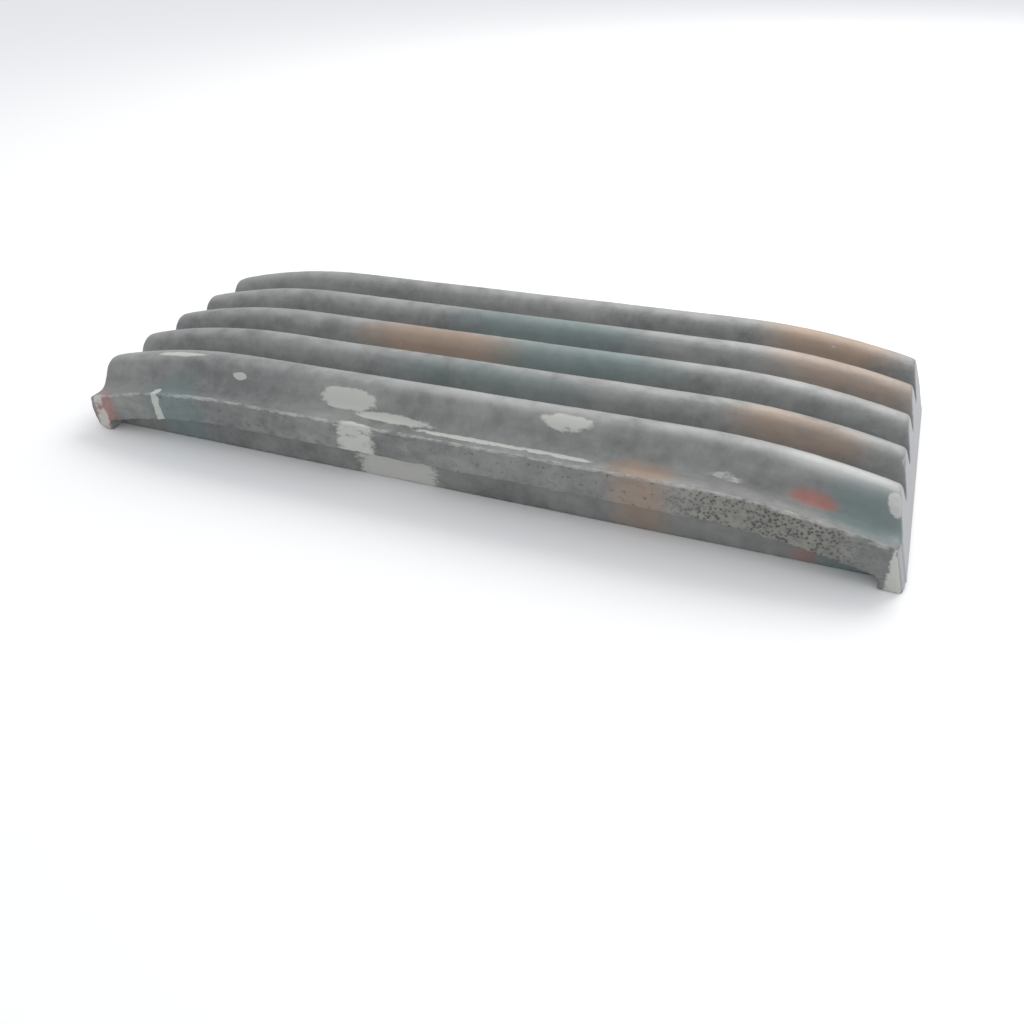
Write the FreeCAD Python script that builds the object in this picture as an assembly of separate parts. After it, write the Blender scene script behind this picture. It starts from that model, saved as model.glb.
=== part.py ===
import FreeCAD, Part

import math
import os

from FreeCAD import Vector

# Jaw plate of a jaw crusher, one half of a jaw in two halves: a single manganese steel casting.
# Five rounded crushing ribs run along it and sink towards both ends. Along the outer edge the
# groove opens into a ledge with an upright side, and under the side a rebate takes the clamp bar.
# The inner edge is cut at the bottom of a groove, where it butts against the other half.
# Millimetres. +X runs along the ribs, +Z out of the crushing face, -Y towards the outer edge.
# The origin is the middle of the flat back.

# Overall size
LENGTH = 1272.0
WIDTH = 480.0
THICKNESS = 140.0

# Ribs and grooves, in the section across the plate
RIB_COUNT = 5
RIB_PITCH = 90.0
FLANK_ANGLE = math.radians(62.0)
GROOVE_DEPTH = 40.0
GROOVE_RADIUS = 9.0

# Outer edge: ledge, upright side, and the rebate under the side
LEDGE_DEPTH = 39.0
LEDGE_FILLET = 20.0
LIP_RADIUS = 3.0
SIDE_HEIGHT = 48.0
SIDE_DRAFT = math.radians(3.0)
REBATE_DEPTH = 25.0
REBATE_FILLET = 10.0
LEFT_PAD_LENGTH = 30.0
RIGHT_PAD_LENGTH = 33.0

# Lengthwise form: level over the middle, then falling away along an arc to each end
LEVEL_HALF_LENGTH = 342.0
CROWN_RADIUS = 1075.0
CROWN_SWEEP_DEGREES = 21.0

# Ends of the casting, which lean outwards towards the back and are rounded at its edge
LEFT_END_LEAN = math.radians(5.0)
LEFT_CORNER_RADIUS = 25.0
RIGHT_END_LEAN = math.radians(16.0)
RIGHT_CORNER_RADIUS = 6.0

# How far the raw casting and the cutters reach past the finished faces
OVERRUN = 60.0
# Points nearer than this are one point
TOUCHING = 1e-6
MM3_PER_LITRE = 1e6

HALF_LENGTH = LENGTH / 2
HALF_WIDTH = WIDTH / 2
HALF_PITCH = RIB_PITCH / 2
LAST_RIB_Y = HALF_WIDTH - HALF_PITCH
RIB_YS = [LAST_RIB_Y - RIB_PITCH * step for step in reversed(range(RIB_COUNT))]
SIDE_FOOT_DEPTH = LEDGE_DEPTH + SIDE_HEIGHT
RAW_DEPTH = THICKNESS + OVERRUN
CROWN_CENTRE_Z = THICKNESS - CROWN_RADIUS


def outline_face(stretches):
    """Face inside a closed outline of points and (start, middle, end) arcs, joined by lines."""
    edges = []
    here = stretches[-1][-1]
    for stretch in stretches:
        if not here.isEqual(stretch[0], TOUCHING):
            edges.append(Part.LineSegment(here, stretch[0]).toShape())
        if len(stretch) > 1:
            edges.append(Part.Arc(*stretch).toShape())
        here = stretch[-1]
    return Part.Face(Part.Wire(edges))


# --- Section across the plate -------------------------------------------------------------------

def section_point(y, depth):
    """Point of the section: its place across the plate and its depth below the rib tops."""
    return Vector(0, y, THICKNESS - depth)


def section_arc(y, depth, radius, start, end):
    """Arc about (y, depth). Its angles count from straight up, turning towards the outer edge."""
    angles = (start, (start + end) / 2, end)
    return [
        section_point(y - radius * math.sin(angle), depth - radius * math.cos(angle))
        for angle in angles
    ]


def drafted_y(y, depth):
    """Where a side that starts at y has moved to at a depth, drawn in towards the middle."""
    return y - math.copysign((depth - LEDGE_DEPTH) * math.tan(SIDE_DRAFT), y)


def flank_offset():
    """Distance of the straight flank's line from the crest of its rib, square to the flank."""
    groove_centre_up = GROOVE_RADIUS - GROOVE_DEPTH
    return (HALF_PITCH * math.sin(FLANK_ANGLE) + groove_centre_up * math.cos(FLANK_ANGLE)
            - GROOVE_RADIUS)


def rib_arc(rib_y):
    """Round top of one rib, running straight into both its flanks."""
    radius = flank_offset() / (1 - math.cos(FLANK_ANGLE))
    return section_arc(rib_y, radius, radius, FLANK_ANGLE, -FLANK_ANGLE)


def groove_arc(rib_y, end):
    """Bottom of the groove on the inner side of a rib, from the rib's flank round to an angle."""
    depth = GROOVE_DEPTH - GROOVE_RADIUS
    return section_arc(rib_y + HALF_PITCH, depth, GROOVE_RADIUS, math.pi - FLANK_ANGLE, end)


def ledge_arcs():
    """Lip of the ledge, and the fillet from the ledge up to the first rib."""
    lip_y = LIP_RADIUS - HALF_WIDTH
    fillet_depth = LEDGE_DEPTH - LEDGE_FILLET
    along = flank_offset() + LEDGE_FILLET + fillet_depth * math.cos(FLANK_ANGLE)
    fillet_y = RIB_YS[0] - along / math.sin(FLANK_ANGLE)
    return [
        section_arc(lip_y, LEDGE_DEPTH + LIP_RADIUS, LIP_RADIUS, math.pi / 2, 0),
        section_arc(fillet_y, fillet_depth, LEDGE_FILLET, -math.pi, FLANK_ANGLE - math.pi),
    ]


def plate_section():
    """Whole section, deeper than the finished plate."""
    stretches = [[section_point(drafted_y(-HALF_WIDTH, RAW_DEPTH), RAW_DEPTH)]]
    stretches += ledge_arcs()
    for rib_y in RIB_YS[:-1]:
        stretches += [rib_arc(rib_y), groove_arc(rib_y, math.pi + FLANK_ANGLE)]
    stretches += [rib_arc(LAST_RIB_Y), groove_arc(LAST_RIB_Y, math.pi)]
    stretches.append([section_point(drafted_y(HALF_WIDTH, RAW_DEPTH), RAW_DEPTH)])
    return outline_face(stretches)


# --- Lengthwise forms ---------------------------------------------------------------------------

def raw_casting():
    """Section carried along the level middle, and turned down along an arc at each end."""
    section = plate_section()
    section.translate(Vector(-LEVEL_HALF_LENGTH, 0, 0))
    raw = section.extrude(Vector(2 * LEVEL_HALF_LENGTH, 0, 0))
    for side in (-1, 1):
        start = plate_section()
        start.translate(Vector(side * LEVEL_HALF_LENGTH, 0, 0))
        centre = Vector(side * LEVEL_HALF_LENGTH, 0, CROWN_CENTRE_Z)
        raw = raw.fuse(start.revolve(centre, Vector(0, side, 0), CROWN_SWEEP_DEGREES))
    return raw.removeSplitter()


def side_view_point(x, z):
    return Vector(x, 0, z)


def end_outline(side, lean, corner_radius):
    """One end in side view: rounded edge at the back, then the leaning end face, going upwards."""
    corner_x = side * (HALF_LENGTH - corner_radius)
    corner_angle = math.pi / 2 + lean
    corner = [
        side_view_point(corner_x + side * corner_radius * math.sin(angle),
                        corner_radius - corner_radius * math.cos(angle))
        for angle in (0, corner_angle / 2, corner_angle)
    ]
    rise = THICKNESS + OVERRUN - corner[-1].z
    top = corner[-1] + side_view_point(-side * rise * math.tan(lean), rise)
    return [corner, [top]]


def end_trim():
    """Block that the raw casting is trimmed to: flat back, leaning ends, open at top and sides."""
    left = end_outline(-1, LEFT_END_LEAN, LEFT_CORNER_RADIUS)
    right = end_outline(1, RIGHT_END_LEAN, RIGHT_CORNER_RADIUS)
    going_down = [stretch[::-1] for stretch in left[::-1]]
    outline = outline_face(going_down + right)
    outline.translate(Vector(0, -HALF_WIDTH - OVERRUN, 0))
    return outline.extrude(Vector(0, WIDTH + 2 * OVERRUN, 0))


def ceiling_point(side, reach, angle):
    """Point at a reach from the crown's centre, its angle counted from straight up."""
    return side_view_point(side * (LEVEL_HALF_LENGTH + reach * math.sin(angle)),
                           CROWN_CENTRE_Z + reach * math.cos(angle))


def rebate_end(side, pad_length):
    """One end of the rebate in side view: sinking ceiling, fillet, then down the end pad's face."""
    ceiling_reach = CROWN_RADIUS - SIDE_FOOT_DEPTH
    fillet_reach = ceiling_reach - REBATE_FILLET
    pad_x = side * (HALF_LENGTH - pad_length)
    fillet_along = HALF_LENGTH - pad_length - REBATE_FILLET - LEVEL_HALF_LENGTH
    turn = math.asin(fillet_along / fillet_reach)
    fillet_centre = ceiling_point(side, fillet_reach, turn)
    middle_angle = (turn + math.pi / 2) / 2
    fillet_middle = fillet_centre + side_view_point(
        side * REBATE_FILLET * math.sin(middle_angle), REBATE_FILLET * math.cos(middle_angle))
    ceiling = [ceiling_point(side, ceiling_reach, angle) for angle in (0, turn / 2, turn)]
    fillet = [ceiling[-1], fillet_middle, side_view_point(pad_x, fillet_centre.z)]
    return [ceiling, fillet, [side_view_point(pad_x, -OVERRUN)]]


def rebate_cutter():
    """Space taken out beneath the outer side, between the end pads."""
    left = rebate_end(-1, LEFT_PAD_LENGTH)
    right = rebate_end(1, RIGHT_PAD_LENGTH)
    outline = outline_face([stretch[::-1] for stretch in left[::-1]] + right)
    outline.translate(Vector(0, -HALF_WIDTH - OVERRUN, 0))
    rebate_y = drafted_y(-HALF_WIDTH, SIDE_FOOT_DEPTH) + REBATE_DEPTH
    return outline.extrude(Vector(0, rebate_y + HALF_WIDTH + OVERRUN, 0))


def jaw_plate():
    plate = raw_casting().common(end_trim()).cut(rebate_cutter())
    return plate.Solids[0]


os.makedirs("parts", exist_ok=True)
plate = jaw_plate()
plate.exportStep("parts/jaw_plate.step")
print("volume, litres:", round(plate.Volume / MM3_PER_LITRE, 2))
print("box, mm:", plate.optimalBoundingBox(False))
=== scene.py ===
# %% [markdown]
# # A crusher jaw plate
#
# A jaw crusher breaks rock between two ribbed plates of manganese steel. This scene shows one such
# plate as it comes from the foundry: the skin of the mould still on it, flash along the parting
# line, and a little rust and lime from the storage yard. We start by loading the measured CAD model,
# because every size below is taken from it, and by writing down the box that it fills.

# %% Load the frame
import math

import bpy
import numpy as np
from mathutils import Matrix, Vector
from mathutils.bvhtree import BVHTree


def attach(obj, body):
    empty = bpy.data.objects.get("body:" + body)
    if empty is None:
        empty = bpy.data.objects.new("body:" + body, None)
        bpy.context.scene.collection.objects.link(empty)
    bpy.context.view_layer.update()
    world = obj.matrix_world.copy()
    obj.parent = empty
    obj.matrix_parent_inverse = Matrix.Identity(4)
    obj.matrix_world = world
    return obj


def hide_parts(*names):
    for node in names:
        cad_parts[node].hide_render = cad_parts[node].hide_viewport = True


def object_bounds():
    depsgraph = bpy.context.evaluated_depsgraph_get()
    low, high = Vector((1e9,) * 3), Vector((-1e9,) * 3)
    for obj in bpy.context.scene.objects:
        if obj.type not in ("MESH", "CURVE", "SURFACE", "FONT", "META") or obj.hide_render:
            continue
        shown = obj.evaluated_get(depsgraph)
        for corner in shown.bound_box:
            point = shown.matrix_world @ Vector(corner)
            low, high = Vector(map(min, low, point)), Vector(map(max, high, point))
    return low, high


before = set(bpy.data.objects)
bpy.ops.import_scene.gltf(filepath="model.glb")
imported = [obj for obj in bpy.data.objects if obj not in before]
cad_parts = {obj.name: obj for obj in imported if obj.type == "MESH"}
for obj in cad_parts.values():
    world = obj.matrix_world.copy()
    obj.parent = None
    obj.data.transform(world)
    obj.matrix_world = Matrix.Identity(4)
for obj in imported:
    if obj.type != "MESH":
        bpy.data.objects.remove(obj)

bounds_at_start = [list(corner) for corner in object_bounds()]
LOW, HIGH = (np.array(corner) for corner in bounds_at_start)
print("the plate's box:", LOW.round(3), "to", HIGH.round(3))

# %% [markdown]
# ## The plate's own measures
#
# A foundry pattern is drawn with its ribs first. The ribs run along the plate at an even pitch, and
# they sink towards both ends along an arc, so that the jaw bites hardest in its middle. These few
# measures let us say later where on the plate something is: how deep under the rib tops, how far
# across from a rib's middle, and how far in from an end.

# %% Measures and places on the plate
MM = 0.001
RIB_PITCH = 90 * MM
LEDGE_DEPTH = 39 * MM
SIDE_FOOT_DEPTH = 87 * MM
SIDE_DRAFT = math.radians(3)
LEVEL_HALF_LENGTH = 342 * MM
CROWN_RADIUS = 1075 * MM
CROWN_CENTRE_Z = HIGH[2] - CROWN_RADIUS
PITCHES_TO_FIRST_RIB = 4.5
FIRST_RIB_Y = HIGH[1] - PITCHES_TO_FIRST_RIB * RIB_PITCH
RIGHT_END_LEAN = math.radians(16)
LEFT_END_LEAN = math.radians(5)


def depth_under_crest(points):
    """How far each point lies below the sweep of the rib tops."""
    past_level = np.maximum(np.abs(points[:, 0]) - LEVEL_HALF_LENGTH, 0)
    return CROWN_RADIUS - np.hypot(past_level, points[:, 2] - CROWN_CENTRE_Z)


def in_from_right_end(points):
    """Distance from the right end's leaning face, counted inwards."""
    return (HIGH[0] - points[:, 0]) * math.cos(RIGHT_END_LEAN) - points[:, 2] * math.sin(RIGHT_END_LEAN)


def in_from_left_end(points):
    """Distance from the left end's leaning face, counted inwards."""
    return (points[:, 0] - LOW[0]) * math.cos(LEFT_END_LEAN) - points[:, 2] * math.sin(LEFT_END_LEAN)


def ramp(values, start, end):
    """0 before start, 1 past end and smooth between. It runs downwards where end is below start."""
    t = np.clip((values - start) / (end - start), 0, 1)
    return t * t * (3 - 2 * t)


print("the first rib runs at y =", round(FIRST_RIB_Y, 3))

# %% [markdown]
# ## An even skin of small faces
#
# The CAD model has long thin faces, which can't be dented or roughened. A sculptor would first wrap
# the form in an even net. We do the same: a copy is rebuilt as small squares of under three
# millimetres, and each corner is drawn back onto the true surface, so the form stays what it was.

# %% Wrap the casting in a fine net
NET_SIZE = 2.7 * MM


def fine_net(node):
    """Even mesh of the node's form, with its corners on the node's own surface."""
    mesh = node.data.copy()
    mesh.transform(node.matrix_world)
    casting = bpy.data.objects.new("cast_plate", mesh)
    bpy.context.collection.objects.link(casting)
    surface = BVHTree.FromPolygons([v.co for v in mesh.vertices], [p.vertices for p in mesh.polygons])
    remesh = casting.modifiers.new("net", "REMESH")
    remesh.mode = "VOXEL"
    remesh.voxel_size = NET_SIZE
    evaluated = casting.evaluated_get(bpy.context.evaluated_depsgraph_get())
    casting.data = bpy.data.meshes.new_from_object(evaluated)
    casting.modifiers.clear()
    for vertex in casting.data.vertices:
        vertex.co = surface.find_nearest(vertex.co)[0]
    return casting


def mesh_points(mesh):
    flat = np.empty(len(mesh.vertices) * 3, dtype=np.float32)
    mesh.vertices.foreach_get("co", flat)
    return flat.reshape(-1, 3).astype(float)


def mesh_normals(mesh):
    flat = np.empty(len(mesh.vertices) * 3, dtype=np.float32)
    mesh.vertices.foreach_get("normal", flat)
    return flat.reshape(-1, 3).astype(float)


def move_points(mesh, points):
    """Puts the mesh's corners at these points, none of them outside the plate's box."""
    mesh.vertices.foreach_set("co", np.clip(points, LOW, HIGH).ravel().astype(np.float32))
    mesh.update()


casting = fine_net(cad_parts["jaw_plate"])
print("the net has", len(casting.data.polygons), "squares")

# %% [markdown]
# ## Easing the edges
#
# Sand can't hold a knife edge, so wherever the ribs run out at an end, the corner comes out round.
# Letting each corner of the net drift towards the middle of its neighbours, a few times over and
# only near the ends, wears those edges down just as sand and handling do.

# %% Round the edges at both ends
EASING_ROUNDS = 10
EASED_LENGTH = 14 * MM
FULLY_EASED_LENGTH = 3 * MM
EASED_ABOVE = 14 * MM
EASING_BLEND = 6 * MM
EASING_STEP = 0.5


def ease(mesh, weights, rounds):
    """Draws each point towards its neighbours' middle, as far as its weight says."""
    points = mesh_points(mesh)
    edges = np.empty(len(mesh.edges) * 2, dtype=np.int32)
    mesh.edges.foreach_get("vertices", edges)
    edges = edges.reshape(-1, 2)
    ends, others = np.concatenate([edges, edges[:, ::-1]]).T
    neighbours = np.bincount(ends, minlength=len(points))[:, None]
    for _ in range(rounds):
        sums = np.stack([np.bincount(ends, points[others, axis], len(points)) for axis in range(3)], 1)
        points += (sums / neighbours - points) * EASING_STEP * weights[:, None]
    move_points(mesh, points)


points = mesh_points(casting.data)
in_from_ends = np.minimum(in_from_right_end(points), in_from_left_end(points))
near_an_end = ramp(in_from_ends, EASED_LENGTH, FULLY_EASED_LENGTH)
above_the_foot = ramp(points[:, 2], EASED_ABOVE - EASING_BLEND, EASED_ABOVE)
ease(casting.data, near_an_end * above_the_foot, EASING_ROUNDS)
print("corners eased:", int((near_an_end > 0.5).sum()))

# %% [markdown]
# ## The worn corner
#
# At the right end the upright side turns into the end face over a broad, worn curve. We bend the
# sharp corner onto a quarter of an ellipse, drawn in plan: longer across the plate than along it.

# %% Round the outer right corner
CORNER_ALONG = 7 * MM
CORNER_ACROSS = 20 * MM


def round_outer_corner(points):
    """Moves the points beyond the ellipse, in plan, onto it."""
    side_y = LOW[1] + np.maximum(depth_under_crest(points) - LEDGE_DEPTH, 0) * math.tan(SIDE_DRAFT)
    across = (CORNER_ACROSS - (points[:, 1] - side_y)) / CORNER_ACROSS
    along = (CORNER_ALONG - in_from_right_end(points)) / CORNER_ALONG
    reach = np.hypot(across, along)
    outside = (across > 0) & (along > 0) & (reach > 1)
    back = np.where(outside, 1 - 1 / np.maximum(reach, 1), 0)
    moved = points.copy()
    moved[:, 0] -= along * back * CORNER_ALONG / math.cos(RIGHT_END_LEAN)
    moved[:, 1] += across * back * CORNER_ACROSS
    return moved


move_points(casting.data, round_outer_corner(mesh_points(casting.data)))
print("the corner is rounded over", CORNER_ACROSS / MM, "mm")

# %% [markdown]
# ## Sand, scale and flow marks
#
# A sand mould leaves its grain on the steel. Molten manganese steel also freezes in slow waves, and
# the poured ribs keep faint marks along their length. All of these come from one tool: a lattice of
# random heights, smoothed between its knots. Stretching the lattice along the ribs gives streaks.

# %% Noise to shape the skin with
LATTICE = 64


def noise(points, knot_size, seed):
    """Smooth random heights from -1 to 1, with knots about knot_size apart (one size, or three)."""
    lattice = np.random.default_rng(seed).uniform(-1, 1, (LATTICE,) * 3)
    places = points / np.broadcast_to(knot_size, 3)
    base = np.floor(places).astype(int)
    near = places - base
    near = near * near * (3 - 2 * near)
    total = np.zeros(len(points))
    for corner in np.ndindex(2, 2, 2):
        weight = np.prod(np.where(corner, near, 1 - near), axis=1)
        knot = (base + corner) % LATTICE
        total += weight * lattice[knot[:, 0], knot[:, 1], knot[:, 2]]
    return total


points = mesh_points(casting.data)
normals = mesh_normals(casting.data)
print("noise over the net runs from", noise(points, 20 * MM, 1).min().round(2), "upwards")

# %% [markdown]
# ## Which part of the plate is which
#
# The skin isn't the same all over. The rib tops and flanks are fairly smooth, the upright side below
# the ledge is coarse and pitted, the two ends are dressed almost smooth, and the back is plain. Each
# region is a number from 0 to 1 at every corner of the net.

# %% Regions
END_FACING = (0.75, 0.92)
BACK_FACING = (0.6, 0.9)
RIBBED_FACING = (0.05, 0.3)
SIDE_REACH = (9 * MM, 5 * MM)
SIDE_START = 3 * MM
SPONGY_FROM = 400 * MM
SPONGY_TO = 520 * MM
SPONGY_BLEND = 90 * MM
LIP_REACH = (9 * MM, 3 * MM)
FOOT_REACH = (7 * MM, 2 * MM)


def regions(points, normals):
    """Weights of the plate's regions at these points."""
    depth = depth_under_crest(points)
    end = ramp(np.abs(normals[:, 0]), *END_FACING)
    outer = ramp(points[:, 1] - LOW[1], *SIDE_REACH)
    side = outer * ramp(depth, LEDGE_DEPTH, LEDGE_DEPTH + SIDE_START) * (1 - end)
    along = points[:, 0]
    spongy = ramp(along, SPONGY_FROM - SPONGY_BLEND, SPONGY_FROM)
    spongy *= ramp(along, SPONGY_TO + SPONGY_BLEND, SPONGY_TO)
    return {
        "depth": depth,
        "end": end,
        "side": side,
        "spongy": side * spongy,
        "back": ramp(-normals[:, 2], *BACK_FACING),
        "ribbed": ramp(normals[:, 2], *RIBBED_FACING) * (1 - end),
        "lip": ramp(np.hypot(points[:, 1] - LOW[1], depth - LEDGE_DEPTH), *LIP_REACH),
        "foot": outer * ramp(np.abs(depth - SIDE_FOOT_DEPTH), *FOOT_REACH),
    }


region = regions(points, normals)
print("corners on the upright side:", int((region["side"] > 0.5).sum()))

# %% [markdown]
# ## Roughening the skin
#
# Now each corner moves a little along its own normal, mostly inwards, so the plate never outgrows its
# measured box. The side gets deeper pits, most of all towards the right, where the sand was rammed
# less tightly. The lip keeps a ragged fin of flash, and a few knocks dent the rib ends.

# %% Move the skin
SKIN_DEPTH = 0.5 * MM
# each row: knot size in millimetres (one, or along, across and up), height in millimetres, seed
FINE_GRAIN = (5, 0.10, 2)
COARSE_GRAIN = (11, 0.16, 3)
WAVES = ((110, 40, 40), 0.5, 4)
STREAKS = ((120, 4, 6), 0.12, 5)
WIDE_PITS = (8, 1.0, 6)
SMALL_PITS = (4.5, 0.5, 7)
LUMPS = ((28, 14, 14), 0.8, 8)
FLASH = ((14, 8, 8), 1.0, 9)
FLASH_LOWEST = -0.2 * MM
LIP_FLASH = 1.5
FOOT_FLASH = 1.6
SPONGY_PITS = 1.4
SMOOTHER_ENDS = 0.75
SMOOTHER_BACK = 0.5
KNOCKS = [
    # place, radius and depth in millimetres
    ((-627, 201, 103), 9, 3.0),
    ((606, -187, 100), 7, 1.8),
    ((612, -91, 100), 11, 3.0),
    ((622, 12, 103), 6, 1.5),
    ((-590, -179, 112), 6, 1.2),
]


def bumps(knot_size, height, seed):
    """Noise over the casting, scaled to this height."""
    return noise(points, np.array(knot_size) * MM, seed) * height * MM


def knocks(points):
    """Depth of the knocks at each point."""
    total = np.zeros(len(points))
    for place, radius, deep in KNOCKS:
        distance = np.linalg.norm(points - np.array(place) * MM, axis=1)
        total += ramp(distance, radius * MM, 0) * deep * MM
    return total


skin = bumps(*FINE_GRAIN) + bumps(*COARSE_GRAIN) + bumps(*WAVES)
skin *= (1 - SMOOTHER_ENDS * region["end"]) * (1 - SMOOTHER_BACK * region["back"])
streaks = bumps(*STREAKS) * region["ribbed"]
pits = np.minimum(bumps(*WIDE_PITS) + bumps(*SMALL_PITS), 0)
pits *= region["side"] + SPONGY_PITS * region["spongy"]
lumps = bumps(*LUMPS) * region["side"]
flash = np.maximum(bumps(*FLASH), FLASH_LOWEST)
flash *= LIP_FLASH * region["lip"] + FOOT_FLASH * region["foot"]
moves = skin + streaks + pits + lumps + flash - knocks(points)
move_points(casting.data, points + normals * (moves - SKIN_DEPTH)[:, None])
print("skin moves, mm:", (moves.min() / MM).round(2), "to", (moves.max() / MM).round(2))

# %% [markdown]
# ## Fewer triangles where nothing happens
#
# The flat back needs few faces and the ribs need many. Thinning the net keeps the bends and joins up
# the flats, so that the whole plate stays light enough to share.

# %% Thin the net
MOST_TRIANGLES = 195000


def thin(piece, most_triangles):
    """Merges the flattest faces until the piece has no more than that many triangles."""
    piece.modifiers.new("triangles", "TRIANGULATE")
    decimate = piece.modifiers.new("thin", "DECIMATE")
    decimate.ratio = min(1.0, most_triangles / (2 * len(piece.data.polygons)))
    evaluated = piece.evaluated_get(bpy.context.evaluated_depsgraph_get())
    piece.data = bpy.data.meshes.new_from_object(evaluated)
    piece.modifiers.clear()
    move_points(piece.data, mesh_points(piece.data))
    piece.data.shade_smooth()


thin(casting, MOST_TRIANGLES)
print("triangles:", len(casting.data.polygons))

# %% [markdown]
# ## Stains, wear and painted light by place
#
# Weather and handling colour the steel by place. Crests are made paler, partly as rubbing and partly
# as a painted highlight, and grooves darker, partly as grime and partly as painted shade. Old lime sits
# on the outer flank and the ledge, and heat left patches of ochre and teal on the ribs.
# Each stain is one row, and the material reads one mask for each kind.

# %% Stain masks
STAINS = [
    # kind, place along, place across, half length, half width (mm), strength
    ("ochre", -95, -3, 120, 26, 1.0),
    ("ochre", 480, 185, 90, 34, 0.8),
    ("ochre", 520, 95, 110, 34, 0.55),
    ("ochre", 470, -90, 80, 26, 0.6),
    ("ochre", 300, -225, 40, 20, 0.7),
    ("teal", 60, 90, 150, 30, 0.8),
    ("teal", 150, 0, 130, 30, 0.9),
    ("teal", 20, -100, 160, 26, 0.45),
    ("teal", 585, -205, 60, 26, 0.8),
    ("teal", -455, -240, 55, 40, 0.9),
    ("lime", -150, -196, 60, 12, 0.95),
    ("lime", -70, -209, 90, 10, 0.9),
    ("lime", -120, -240, 45, 16, 0.8),
    ("lime", 60, -222, 120, 7, 0.9),
    ("lime", 175, -222, 90, 7, 0.85),
    ("lime", 185, -184, 50, 12, 0.85),
    ("lime", -345, -193, 16, 4, 1.0),
    ("lime", -470, -172, 60, 6, 1.0),
    ("lime", -487, -232, 10, 14, 1.0),
    ("lime", 400, -205, 40, 8, 0.7),
    ("lime", 605, -186, 14, 12, 1.0),
    ("lime", 622, -238, 16, 8, 0.9),
    ("lime", -615, -240, 16, 12, 0.8),
    ("red", 512, -204, 26, 7, 1.0),
    ("red", -605, -238, 22, 20, 0.5),
    ("dark", -291, 0, 18, 14, 1.0),
    ("pale", 545, -170, 90, 16, 1.0),
    ("pale", 30, -165, 120, 12, 0.5),
]


STAIN_EDGE = (1.5, 0.4)


def stain_mask(points, kind):
    """Strongest stain of one kind at each point, soft-edged."""
    total = np.zeros(len(points))
    for name, along, across, half_length, half_width, strength in STAINS:
        if name == kind:
            reach = np.hypot((points[:, 0] / MM - along) / half_length,
                             (points[:, 1] / MM - across) / half_width)
            total = np.maximum(total, ramp(reach, *STAIN_EDGE) * strength)
    return total


def store_mask(piece, name, values):
    """Keeps one number from 0 to 1 on every corner of the mesh, for the material to read."""
    layer = piece.data.attributes.new(name, "FLOAT", "POINT")
    layer.data.foreach_set("value", np.clip(values, 0, 1).astype(np.float32))


CREST_DEPTH = 9 * MM
GROOVE_DEPTHS = (22 * MM, 40 * MM)
GROOVES_START = 20 * MM
FOOT_CRUST = 0.7
CLEANER_ENDS = 0.8

points = mesh_points(casting.data)
region = regions(points, mesh_normals(casting.data))
open_steel = 1 - region["end"]
past_first_rib = ramp(points[:, 1], FIRST_RIB_Y, FIRST_RIB_Y + GROOVES_START)
masks = {
    # crest: the rib tops, made paler for rubbing and as a painted highlight
    "crest": ramp(region["depth"], CREST_DEPTH, 0) * open_steel,
    # groove: the grooves, made darker for grime and as painted shade between the ribs
    "groove": ramp(region["depth"], *GROOVE_DEPTHS) * past_first_rib * open_steel,
    "side": region["side"],
    "spongy": region["spongy"],
    # end: the end faces, made lighter as dressed metal and as a painted sky reflection
    "end": region["end"],
    "lip": np.maximum(region["lip"], FOOT_CRUST * region["foot"]) * open_steel,
}
for kind in sorted({stain[0] for stain in STAINS}):
    masks[kind] = stain_mask(points, kind) * (1 - CLEANER_ENDS * region["end"])
for name, values in masks.items():
    store_mask(casting, name, values)
print("masks:", list(masks))

# %% [markdown]
# ## A few node helpers
#
# A material is a small machine of nodes. These helpers each add one node and hand back its output,
# so that the recipe below reads from top to bottom.

# %% Node helpers
# a mix node lists its colour sockets after those for numbers and vectors
FIRST_COLOUR, SECOND_COLOUR, MIXED_COLOUR = 6, 7, 2
MASK_EDGE = 0.2


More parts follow.
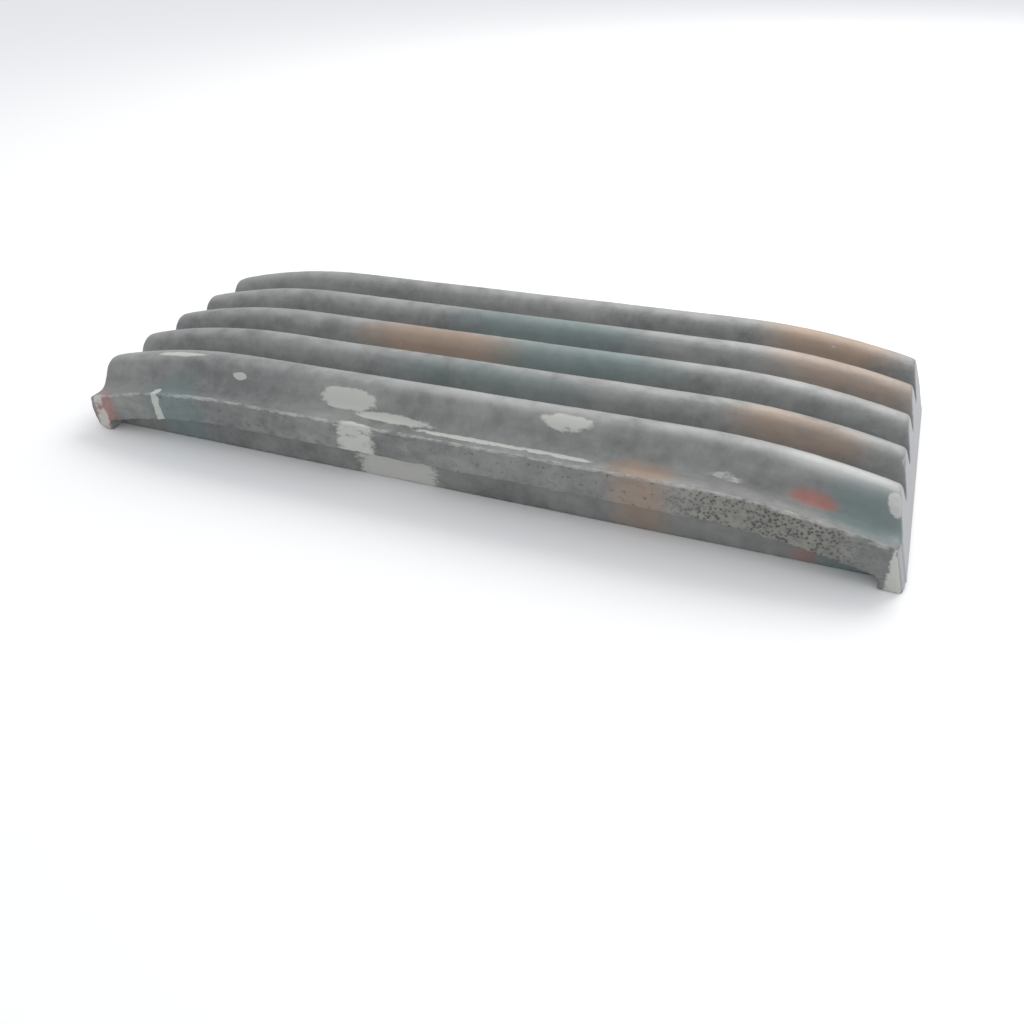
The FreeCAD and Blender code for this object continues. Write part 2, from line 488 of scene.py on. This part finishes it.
class Recipe:
    """A new material, with short ways to add its nodes."""

    def __init__(self, name):
        self.material = bpy.data.materials.new(name)
        self.material.use_nodes = True
        self.nodes = self.material.node_tree.nodes
        self.links = self.material.node_tree.links
        self.shader = self.nodes["Principled BSDF"]

    def put(self, value, socket):
        """Links an output to the socket, or sets the socket to a plain value."""
        if isinstance(value, bpy.types.NodeSocket):
            self.links.new(value, socket)
        elif isinstance(value, tuple) and socket.type == "RGBA":
            socket.default_value = (*value, 1)
        else:
            socket.default_value = value

    def place(self):
        return self.nodes.new("ShaderNodeTexCoord").outputs["Object"]

    def mask(self, name):
        node = self.nodes.new("ShaderNodeAttribute")
        node.attribute_name = name
        return node.outputs["Fac"]

    def stretched(self, place, scale):
        node = self.nodes.new("ShaderNodeMapping")
        self.put(place, node.inputs["Vector"])
        self.put(scale, node.inputs["Scale"])
        return node.outputs["Vector"]

    def noise(self, place, scale, detail, roughness):
        node = self.nodes.new("ShaderNodeTexNoise")
        self.put(place, node.inputs["Vector"])
        self.put(scale, node.inputs["Scale"])
        self.put(detail, node.inputs["Detail"])
        self.put(roughness, node.inputs["Roughness"])
        return node.outputs["Fac"]

    def cells(self, place, scale):
        node = self.nodes.new("ShaderNodeTexVoronoi")
        self.put(place, node.inputs["Vector"])
        self.put(scale, node.inputs["Scale"])
        return node.outputs["Distance"]

    def between(self, value, low, high):
        """Stretches a value so that low becomes 0 and high becomes 1."""
        node = self.nodes.new("ShaderNodeMapRange")
        self.put(value, node.inputs["Value"])
        self.put(low, node.inputs["From Min"])
        self.put(high, node.inputs["From Max"])
        return node.outputs["Result"]

    def math(self, operation, first, second):
        node = self.nodes.new("ShaderNodeMath")
        node.operation = operation
        self.put(first, node.inputs[0])
        self.put(second, node.inputs[1])
        return node.outputs["Value"]

    def times(self, first, second):
        return self.math("MULTIPLY", first, second)

    def plus(self, first, second):
        return self.math("ADD", first, second)

    def most(self, first, second):
        return self.math("MAXIMUM", first, second)

    def mix(self, amount, first, second):
        """Mixes two colours."""
        node = self.nodes.new("ShaderNodeMix")
        node.data_type = "RGBA"
        self.put(amount, node.inputs["Factor"])
        self.put(first, node.inputs[FIRST_COLOUR])
        self.put(second, node.inputs[SECOND_COLOUR])
        return node.outputs[MIXED_COLOUR]

    def patchy(self, mask, texture, low, high):
        """A mask broken up by a texture: the stronger the mask, the more of the texture shows."""
        broken = self.between(self.plus(mask, self.math("SUBTRACT", texture, 1.0)), low, high)
        return self.times(broken, self.between(mask, 0, MASK_EDGE))


print("helpers:", [name for name in vars(Recipe) if not name.startswith("_")])

# %% [markdown]
# ## Cast manganese steel
#
# Foundry skin is neither bare metal nor paint. It is a dull grey oxide with a soft sheen, so it is
# made partly metallic and rather rough. Two sizes of noise keep any stretch of it from looking even,
# the masks shift it by place, and lime and flash sit on top as a paler, duller crust.

# %% The cast steel material
DARK_SCALE = (0.150, 0.152, 0.150)
GREY_SCALE = (0.235, 0.235, 0.228)
PALE_SCALE = (0.36, 0.36, 0.35)
# pale grey for rubbed crests that is also a painted highlight on the rib tops, and for the pale patches
WORN_AND_HIGHLIT = (0.42, 0.425, 0.415)
# dark grey for grime in the grooves that is also painted shade between the ribs
GRIME_AND_SHADE = (0.135, 0.145, 0.145)
OCHRE = (0.34, 0.235, 0.165)
TEAL = (0.145, 0.205, 0.20)
RED = (0.45, 0.13, 0.09)
OLIVE = (0.27, 0.27, 0.215)
LIME = (0.62, 0.62, 0.58)
PIT = (0.07, 0.072, 0.065)
# light grey for the dressed end faces, raised to stand in for a painted reflection of the bright sky
DRESSED_AND_SKY_SHEEN = (0.40, 0.405, 0.415)
# kind, colour and the most that it covers
TINTS = (("ochre", OCHRE, 0.75), ("teal", TEAL, 0.65), ("red", RED, 0.55))
# the most that each of the other layers covers
# the grime, rubbed and dressed layers also carry painted shade, a painted highlight and a painted sky
# reflection
COVER = {"mottle": 0.45, "streaks": 0.3, "grime": 0.45, "rubbed": 0.45, "pale": 0.75, "dark": 0.55,
         "olive": 0.7, "hollow": 0.7, "dressed": 0.85, "seam": 0.6, "crust": 0.8}
STREAK_STRETCH = (0.1, 1.0, 1.0)
CRUMB_STRETCH = (0.45, 1.0, 1.0)
SEAM_STRENGTH = 0.75
METALLIC = 0.35
ROUGHNESS = 0.52
CRUST_ROUGHNESS = 0.3
FINE_ROUGHNESS = 0.15
FINE_HEIGHT = 0.5
CRUST_HEIGHT = 0.35
HOLLOW_HEIGHT = -0.9
BUMP_STRENGTH = 0.7
BUMP_SIZE = 0.9 * MM


def steel_colour(recipe, place):
    """The oxide skin itself, before stains."""
    along = recipe.stretched(place, STREAK_STRETCH)
    patches = recipe.between(recipe.noise(place, scale=8, detail=4, roughness=0.55), low=0.38, high=0.62)
    mottle = recipe.between(recipe.noise(place, scale=45, detail=6, roughness=0.65), low=0.35, high=0.7)
    streaks = recipe.between(recipe.noise(along, scale=55, detail=5, roughness=0.55), low=0.45, high=0.7)
    colour = recipe.mix(patches, DARK_SCALE, GREY_SCALE)
    colour = recipe.mix(recipe.times(mottle, COVER["mottle"]), colour, PALE_SCALE)
    return recipe.mix(recipe.times(streaks, COVER["streaks"]), colour, DARK_SCALE)


def stained(recipe, colour, broad):
    """Paler crests, partly rubbing and partly a painted highlight; darker grooves, partly grime and
    partly painted shade; and the coloured stains.
    """
    # the grooves are painted darker, partly as grime and partly as painted shade where the ribs hide the
    # light
    colour = recipe.mix(recipe.times(recipe.mask("groove"), COVER["grime"]), colour, GRIME_AND_SHADE)
    # the rib tops are painted paler, partly as rubbing and partly as a painted highlight from the light
    # above
    rubbed = recipe.times(recipe.mask("crest"), recipe.between(broad, low=0.3, high=0.6))
    colour = recipe.mix(recipe.times(rubbed, COVER["rubbed"]), colour, WORN_AND_HIGHLIT)
    colour = recipe.mix(recipe.times(recipe.mask("pale"), COVER["pale"]), colour, WORN_AND_HIGHLIT)
    for name, tint, cover in TINTS:
        stain = recipe.patchy(recipe.mask(name), broad, low=-0.6, high=0.3)
        colour = recipe.mix(recipe.times(stain, cover), colour, tint)
    return recipe.mix(recipe.times(recipe.mask("dark"), COVER["dark"]), colour, DARK_SCALE)


def hollows(recipe, place, fine):
    """Small dark pits: cells in the spongy stretch, specks on the rest of the side."""
    cells = recipe.plus(recipe.cells(place, scale=190), fine)
    sponge = recipe.times(recipe.mask("spongy"), recipe.between(cells, low=1.0, high=0.7))
    specks = recipe.times(recipe.mask("side"), recipe.between(fine, low=0.42, high=0.3))
    return recipe.most(sponge, specks)


def pale_crust(recipe, place, broad):
    """Lime, the pale seam of the flash, and scattered flecks."""
    crumbs_place = recipe.stretched(place, CRUMB_STRETCH)
    crumbs = recipe.noise(crumbs_place, scale=85, detail=7, roughness=0.75)
    lime = recipe.patchy(recipe.mask("lime"), crumbs, low=0.12, high=0.26)
    seam_mask = recipe.times(recipe.mask("lip"), SEAM_STRENGTH)
    seam = recipe.patchy(seam_mask, crumbs, low=0.15, high=0.3)
    flecks = recipe.noise(place, scale=320, detail=3, roughness=0.6)
    flecks = recipe.times(recipe.between(flecks, low=0.69, high=0.73),
                          recipe.between(broad, low=0.5, high=0.65))
    return recipe.most(lime, recipe.most(recipe.times(seam, COVER["seam"]), flecks))


def bump_normal(recipe, fine, crust, hollow):
    """Fine grain and crust raised, pits sunk."""
    height = recipe.plus(recipe.times(fine, FINE_HEIGHT), recipe.times(crust, CRUST_HEIGHT))
    bump = recipe.nodes.new("ShaderNodeBump")
    recipe.put(BUMP_STRENGTH, bump.inputs["Strength"])
    recipe.put(BUMP_SIZE, bump.inputs["Distance"])
    recipe.put(recipe.plus(height, recipe.times(hollow, HOLLOW_HEIGHT)), bump.inputs["Height"])
    return bump.outputs["Normal"]


def cast_steel():
    recipe = Recipe("cast_steel")
    place = recipe.place()
    broad = recipe.noise(place, scale=22, detail=5, roughness=0.6)
    fine = recipe.noise(place, scale=130, detail=6, roughness=0.7)
    colour = stained(recipe, steel_colour(recipe, place), broad)
    olive = recipe.times(recipe.mask("spongy"), recipe.between(fine, low=0.4, high=0.6))
    colour = recipe.mix(recipe.times(olive, COVER["olive"]), colour, OLIVE)
    hollow = hollows(recipe, place, fine)
    colour = recipe.mix(recipe.times(hollow, COVER["hollow"]), colour, PIT)
    # the end faces are painted lighter: dressed metal plus a painted reflection of the sky
    colour = recipe.mix(recipe.times(recipe.mask("end"), COVER["dressed"]), colour, DRESSED_AND_SKY_SHEEN)
    crust = pale_crust(recipe, place, broad)
    colour = recipe.mix(recipe.times(crust, COVER["crust"]), colour, LIME)
    duller = recipe.times(recipe.most(crust, hollow), CRUST_ROUGHNESS)
    roughness = recipe.plus(recipe.plus(duller, ROUGHNESS), recipe.times(fine, FINE_ROUGHNESS))
    recipe.put(colour, recipe.shader.inputs["Base Color"])
    recipe.put(METALLIC, recipe.shader.inputs["Metallic"])
    recipe.put(roughness, recipe.shader.inputs["Roughness"])
    recipe.put(bump_normal(recipe, fine, crust, hollow), recipe.shader.inputs["Normal"])
    return recipe.material


casting.data.materials.clear()
casting.data.materials.append(cast_steel())
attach(casting, "root")
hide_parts("jaw_plate")
print("the plate is finished in", casting.data.materials[0].name)

# %% [markdown]
# ## A studio for the plate
#
# A dark, dull object shows its form best on a pale floor under one large soft light, with a bright
# sky all round to fill the grooves. The light stands behind the plate and to its right, so that the
# far edges of the ribs shine and the dressed end face is bright.

# %% Floor and light
FLOOR_HALF_SIZE = 80
FLOOR_COLOUR = (0.9, 0.9, 0.9)
FLOOR_ROUGHNESS = 0.9
LIGHT_PLACE = (0.9, 2.6, 2.6)
LIGHT_SIZE = 2.6
LIGHT_POWER = 95
LIGHT_COLOUR = (1.0, 0.99, 0.97)
SKY_COLOUR = (0.95, 0.97, 1.0)
SKY_STRENGTH = 0.9


def make_floor(half_size):
    mesh = bpy.data.meshes.new("floor")
    corners = [(-half_size, -half_size, 0), (half_size, -half_size, 0),
               (half_size, half_size, 0), (-half_size, half_size, 0)]
    mesh.from_pydata(corners, [], [(0, 1, 2, 3)])
    floor = bpy.data.objects.new("floor", mesh)
    bpy.context.collection.objects.link(floor)
    recipe = Recipe("pale_floor")
    recipe.put(FLOOR_COLOUR, recipe.shader.inputs["Base Color"])
    recipe.put(FLOOR_ROUGHNESS, recipe.shader.inputs["Roughness"])
    mesh.materials.append(recipe.material)


def add_area_light(name, place, size, power, colour):
    light = bpy.data.lights.new(name, "AREA")
    light.size = size
    light.energy = power
    light.color = colour
    lamp = bpy.data.objects.new(name, light)
    lamp.location = place
    lamp.rotation_euler = (-Vector(place)).to_track_quat("-Z", "Y").to_euler()
    bpy.context.collection.objects.link(lamp)


def make_sky(colour, strength):
    world = bpy.data.worlds.new("bright room")
    world.use_nodes = True
    background = world.node_tree.nodes["Background"]
    background.inputs["Color"].default_value = (*colour, 1)
    background.inputs["Strength"].default_value = strength
    bpy.context.scene.world = world


make_floor(FLOOR_HALF_SIZE)
add_area_light("back light", LIGHT_PLACE, LIGHT_SIZE, LIGHT_POWER, LIGHT_COLOUR)
make_sky(SKY_COLOUR, SKY_STRENGTH)
bpy.context.scene.view_settings.view_transform = "Standard"
print("lights:", [lamp.name for lamp in bpy.data.lights])

# %% [markdown]
# ## The camera
#
# The viewer stands near the right end and looks down across the plate, as one would look at it on a
# yard floor, so the ribs run away to the left and the rough outer side faces us.

# %% Camera
VIEWER_PLACE = (0.5322, -1.1872, 0.7452)
TURNED = math.radians(25.44)
TIPPED = math.radians(54.37)
ROLLED = math.radians(-3.57)
LENS = 31.8
SHIFT = (0.0267, 0.0012)

camera_data = bpy.data.cameras.new("viewer")
camera_data.lens = LENS
camera_data.shift_x, camera_data.shift_y = SHIFT
camera = bpy.data.objects.new("viewer", camera_data)
turn, tip, roll = (Matrix.Rotation(angle, 4, axis)
                   for angle, axis in ((TURNED, "Z"), (TIPPED, "X"), (ROLLED, "Z")))
camera.matrix_world = Matrix.Translation(VIEWER_PLACE) @ turn @ tip @ roll
bpy.context.collection.objects.link(camera)
bpy.context.scene.camera = camera
print("camera at", [round(value, 2) for value in camera.matrix_world.translation])

# %% [markdown]
